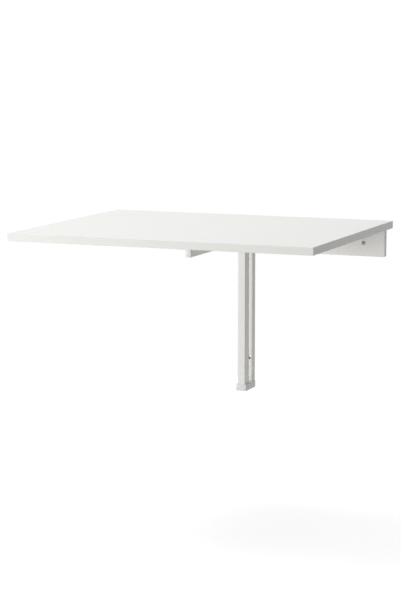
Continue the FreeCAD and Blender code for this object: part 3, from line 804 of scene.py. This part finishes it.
class DROPLEAF_OT_add_hinge_pins(bpy.types.Operator):
    """Model the hinge pins with their riveted ends"""

    bl_idname = "drop_leaf.add_hinge_pins"
    bl_label = "Hinge pins"

    def execute(self, context):
        low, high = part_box("hinge_pin_left")
        radius, run = (high.z - low.z) / 2, high.x - low.x
        start = Vector((low.x, (low.y + high.y) / 2, (low.z + high.z) / 2))
        dome = [(0, 0.5), (0.12, 0.75), (0.3, 0.92), (0.6, 1)]
        rings = [(share * radius, wide * radius) for share, wide in dome]
        rings += [(run - along, wide) for along, wide in reversed(rings)]
        pin = turned("hinge_rivet_left", rings, 24, start, X_AXIS)
        smooth(pin)
        twin = copy_of(pin, "hinge_rivet_right", Vector((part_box("hinge_pin_right")[0].x - low.x, 0, 0)))
        zinc = zinc_plate(context.scene.drop_leaf_finishes)
        for side, made in zip(SIDES, (pin, twin)):
            node = f"hinge_pin_{side}"
            fit(made, body_of(node), "zinc", zinc, node)
        return {"FINISHED"}


class DROPLEAF_OT_add_pivot(bpy.types.Operator):
    """Model the bolt that the arm turns on, and its lock nut"""

    bl_idname = "drop_leaf.add_pivot"
    bl_label = "Pivot bolt and nut"

    def execute(self, context):
        fittings = context.scene.drop_leaf_fittings
        finishes = context.scene.drop_leaf_finishes
        zinc = zinc_plate(finishes)
        low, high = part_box("pivot_bolt")
        middle = Vector((0, (low.y + high.y) / 2, (low.z + high.z) / 2))
        bolt = self.make_bolt(fittings, middle + Vector((low.x, 0, 0)), high.x - low.x)
        fit(bolt, body_of("pivot_bolt"), "zinc", zinc, "pivot_bolt")
        low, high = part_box("pivot_nut")
        nut, insert = self.make_nut(fittings, middle + Vector((low.x, 0, 0)), high.x - low.x)
        fit(nut, body_of("pivot_nut"), "zinc", zinc, "pivot_nut")
        fit(insert, body_of("pivot_nut"), "nylon", natural_nylon(finishes))
        return {"FINISHED"}

    def make_bolt(self, fittings, start, run):
        """A button head with a hexagon socket, a plain shank and a bevelled end."""
        head, high, shank = fittings.pivot_head / 2, fittings.pivot_head_height, fittings.pivot_shank / 2
        dome = [(0, 0.62), (0.04, 0.72), (0.16, 0.83), (0.36, 0.92), (0.6, 0.975), (0.85, 1), (1, 0.985)]
        rings = [(share * high, wide * head) for share, wide in dome]
        rings += [(high, shank), (run - 0.8 * MM, shank), (run, shank - 0.7 * MM)]
        bolt = turned("pivot_screw", rings, ROUND_STEPS, start, X_AXIS)
        corner, deep, point = fittings.pivot_socket / math.sqrt(3), 0.7 * high, MM
        rings = [(-SPARE, corner), (deep, corner), (deep + point, 0.2 * corner)]
        combine(bolt, turned("socket", rings, HEX_STEPS, start, X_AXIS), "DIFFERENCE")
        soften(bolt, 0.15 * MM, 2)
        return bolt

    def make_nut(self, fittings, start, run):
        """A hexagon with bevelled corners, a round collar and the nylon ring inside the collar."""
        corner, flat = fittings.nut_across / math.sqrt(3), fittings.nut_across / 2
        bore = fittings.pivot_shank / 2 + 0.02 * MM
        through = [(-SPARE, bore), (run + SPARE, bore)]
        shoulder = run - fittings.nut_collar
        nut = turned("lock_nut", [(0, corner), (shoulder, corner)], HEX_STEPS, start, X_AXIS)
        drop, face, waist = corner - flat, 1.02 * flat, corner + 0.2 * MM
        rings = [(0, face), (drop, waist), (shoulder - drop, waist), (shoulder, face)]
        combine(nut, turned("barrel", rings, ROUND_STEPS, start, X_AXIS), "INTERSECT")
        collar, seat = flat - 0.5 * MM, bore + 1.1 * MM
        rings = [(shoulder - 0.5 * MM, collar), (run - 0.7 * MM, collar)]
        rings += [(run - 0.2 * MM, collar - 0.3 * MM), (run, collar - 0.9 * MM)]
        combine(nut, turned("collar", rings, ROUND_STEPS, start, X_AXIS), "UNION")
        combine(nut, turned("bore", through, ROUND_STEPS, start, X_AXIS), "DIFFERENCE")
        rings = [(shoulder, seat), (run + SPARE, seat)]
        combine(nut, turned("seat", rings, ROUND_STEPS, start, X_AXIS), "DIFFERENCE")
        smooth(nut)
        ring = seat - 0.03 * MM
        rings = [(shoulder + 0.02 * MM, ring), (run - 0.5 * MM, ring), (run - 0.25 * MM, seat - 0.2 * MM)]
        insert = turned("nut_insert", rings, ROUND_STEPS, start, X_AXIS)
        combine(insert, turned("bore", through, ROUND_STEPS, start, X_AXIS), "DIFFERENCE")
        smooth(insert)
        return nut, insert


class DROPLEAF_OT_add_welds(bpy.types.Operator):
    """Model the weld beads of the steel frame"""

    bl_idname = "drop_leaf.add_welds"
    bl_label = "Weld beads"

    def execute(self, context):
        fittings = context.scene.drop_leaf_fittings
        powder = frame_powder(context.scene.drop_leaf_finishes)
        low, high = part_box("frame_spacer")
        sink = fittings.bead_radius / 3
        upright_bead = self.make_bead("spacer_bead", fittings, high.z - low.z, Z_AXIS)
        beads = []
        for side, x in zip(SIDES, (low.x + sink, high.x - sink)):
            for joint, y in (("post", high.y - sink), ("upright", low.y)):
                beads.append(copy_of(upright_bead, f"weld_{joint}_{side}", Vector((x, y, low.z))))
        near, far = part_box("upright")
        cheek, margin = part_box("frame_head")[0].z, 2 * MM
        level_bead = self.make_bead("cheek_bead", fittings, far.y - near.y - 2 * margin, Y_AXIS)
        for side, x in zip(SIDES, (near.x - sink, far.x + sink)):
            spot = Vector((x, near.y + margin, cheek - sink))
            beads.append(copy_of(level_bead, f"weld_cheek_{side}", spot))
        for made in beads:
            fit(made, body_of("upright"), "powder_coat", powder)
        for model in (upright_bead, level_bead):
            discard(model)
        return {"FINISHED"}

    def make_bead(self, name, fittings, run, axis):
        """A rippled bead that tapers off at both ends."""
        steps = 4 * round(run / fittings.bead_pitch)
        rings = []
        for n in range(steps + 1):
            ripple = 0.84 + 0.16 * abs(math.sin(math.pi * n / 4))
            taper = min(1, 0.4 + 0.15 * min(n, steps - n))
            rings.append((run * n / steps, fittings.bead_radius * ripple * taper))
        bead = turned(name, rings, 14, axis=axis)
        smooth(bead)
        return bead


class DROPLEAF_OT_set_stage(bpy.types.Operator):
    """Set up the floor, the light and the camera"""

    bl_idname = "drop_leaf.set_stage"
    bl_label = "Stage"

    def execute(self, context):
        stage = context.scene.drop_leaf_stage
        self.add_floor(stage)
        self.add_wall(stage)
        self.set_world(context.scene, stage)
        self.add_lamp("key_lamp", stage.key_place, stage.key_power, stage.lamp_width)
        self.add_lamp("front_lamp", stage.front_place, stage.front_power, stage.lamp_width)
        self.add_camera(context.scene, stage)
        context.scene.view_settings.view_transform = "Standard"
        return {"FINISHED"}

    def add_floor(self, stage):
        """A pale floor that shows as white, keeps the table's shadow and can be seen through from below."""
        clear_selection()
        level = CAD_BOX[1].z - stage.table_height
        bpy.ops.mesh.primitive_plane_add(size=stage.floor_width, location=(0, 0, level))
        floor = settle(bpy.context.object, "floor")
        material, nodes = blank_material("pale_floor")
        tone = stage.floor_tone
        pale = nodes.add("ShaderNodeBsdfDiffuse", None, {"Color": (tone, tone, tone, 1)})
        strength = nodes.seen() * stage.floor_glow
        glow = nodes.add("ShaderNodeEmission", None, {"Color": (1, 1, 1, 1), "Strength": strength})
        lit = nodes.add("ShaderNodeAddShader", None, {0: pale, 1: glow})
        clear = nodes.add("ShaderNodeBsdfTransparent")
        behind = nodes.add("ShaderNodeNewGeometry", out="Backfacing")
        surface = nodes.add("ShaderNodeMixShader", None, {0: behind, 1: lit, 2: clear})
        nodes.add("ShaderNodeOutputMaterial", None, {"Surface": surface})
        floor.data.materials.append(material)

    def add_wall(self, stage):
        """Two small spots of the wall that show only from the front, through the holes of the rail."""
        holes = next(mount for mount in frame["record"]["mounts"] if mount["name"] == "wall_rail_holes")
        reach, behind = holes["dims"]["spacing_x_mm"] * MM / 2, 0.3 * MM
        material, nodes = blank_material("wall_behind_holes")
        pale = nodes.add("ShaderNodeBsdfDiffuse", None, {"Color": (0.75, 0.75, 0.74, 1)})
        clear = nodes.add("ShaderNodeBsdfTransparent")
        shown = nodes.seen() * (1 - nodes.add("ShaderNodeNewGeometry", out="Backfacing"))
        surface = nodes.add("ShaderNodeMixShader", None, {0: shown, 1: clear, 2: pale})
        nodes.add("ShaderNodeOutputMaterial", None, {"Surface": surface})
        for side, x in zip(SIDES, (-reach, reach)):
            clear_selection()
            bpy.ops.mesh.primitive_circle_add(
                vertices=24, radius=stage.spot_width / 2, fill_type="NGON", location=(x, behind, 0),
                rotation=(math.radians(90), 0, 0))
            spot = settle(bpy.context.object, f"wall_{side}")
            spot.data.materials.append(material)

    def set_world(self, scene, stage):
        """A white surround to look at, and soft light from above and below."""
        world = bpy.data.worlds.new("soft_surround")
        world.use_nodes = True
        scene.world = world
        nodes = Nodes(world.node_tree)
        direction = nodes.add("ShaderNodeTexCoord", out="Generated")
        height = nodes.add("ShaderNodeSeparateXYZ", None, {"Vector": direction}, out="Z")
        above = nodes.positive(height) * stage.light_above
        light = above + nodes.positive(-1 * height) * stage.light_below
        strength = light + nodes.seen() * (1 - light)
        surround = nodes.add("ShaderNodeBackground", None, {"Color": (1, 1, 1, 1), "Strength": strength})
        nodes.add("ShaderNodeOutputWorld", None, {"Surface": surround})

    def add_lamp(self, name, place, power, width):
        """A large soft lamp that points at the table."""
        aim = (CAD_BOX[0] + CAD_BOX[1]) / 2 - Vector(place)
        turn = aim.to_track_quat("-Z", "Y").to_euler()
        clear_selection()
        bpy.ops.object.light_add(type="AREA", location=place, rotation=turn)
        lamp = bpy.context.object
        lamp.name = name
        lamp.data.shape = "SQUARE"
        lamp.data.size = width
        lamp.data.energy = power

    def add_camera(self, scene, stage):
        """The camera at the photograph's place."""
        lens = bpy.data.cameras.new("camera")
        lens.lens = stage.focal_pixels * lens.sensor_width / stage.picture_height
        camera = bpy.data.objects.new("camera", lens)
        camera.location = stage.camera_place
        camera.rotation_euler = stage.camera_turn
        scene.collection.objects.link(camera)
        scene.camera = camera


OPERATORS = (
    DROPLEAF_OT_paint_boards,
    DROPLEAF_OT_paint_steel,
    DROPLEAF_OT_paint_fittings,
    DROPLEAF_OT_add_foot,
    DROPLEAF_OT_add_arm_cap,
    DROPLEAF_OT_add_pan_screws,
    DROPLEAF_OT_add_hinge_screws,
    DROPLEAF_OT_add_hinge_pins,
    DROPLEAF_OT_add_pivot,
    DROPLEAF_OT_add_welds,
    DROPLEAF_OT_set_stage,
)


class VIEW3D_PT_drop_leaf(bpy.types.Panel):
    """Lists the steps that dress the table"""

    bl_label = "Drop leaf table"
    bl_space_type = "VIEW_3D"
    bl_region_type = "UI"
    bl_category = "Drop leaf table"

    def draw(self, context):
        for operator in OPERATORS:
            self.layout.operator(operator.bl_idname)


GROUPS = {
    "drop_leaf_finishes": DropLeafFinishes,
    "drop_leaf_fittings": DropLeafFittings,
    "drop_leaf_stage": DropLeafStage,
}
CLASSES = (*GROUPS.values(), *OPERATORS, VIEW3D_PT_drop_leaf)


def register():
    """Register the classes and hang the settings on the scene."""
    for made in CLASSES:
        bpy.utils.register_class(made)
    for name, group in GROUPS.items():
        setattr(bpy.types.Scene, name, bpy.props.PointerProperty(type=group))


def unregister():
    """Take the settings and the classes away again."""
    for name in GROUPS:
        delattr(bpy.types.Scene, name)
    for made in reversed(CLASSES):
        bpy.utils.unregister_class(made)


def main():
    """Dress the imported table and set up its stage."""
    register()
    for operator in OPERATORS:
        module, step = operator.bl_idname.split(".")
        getattr(getattr(bpy.ops, module), step)()


if __name__ == "__main__":
    main()
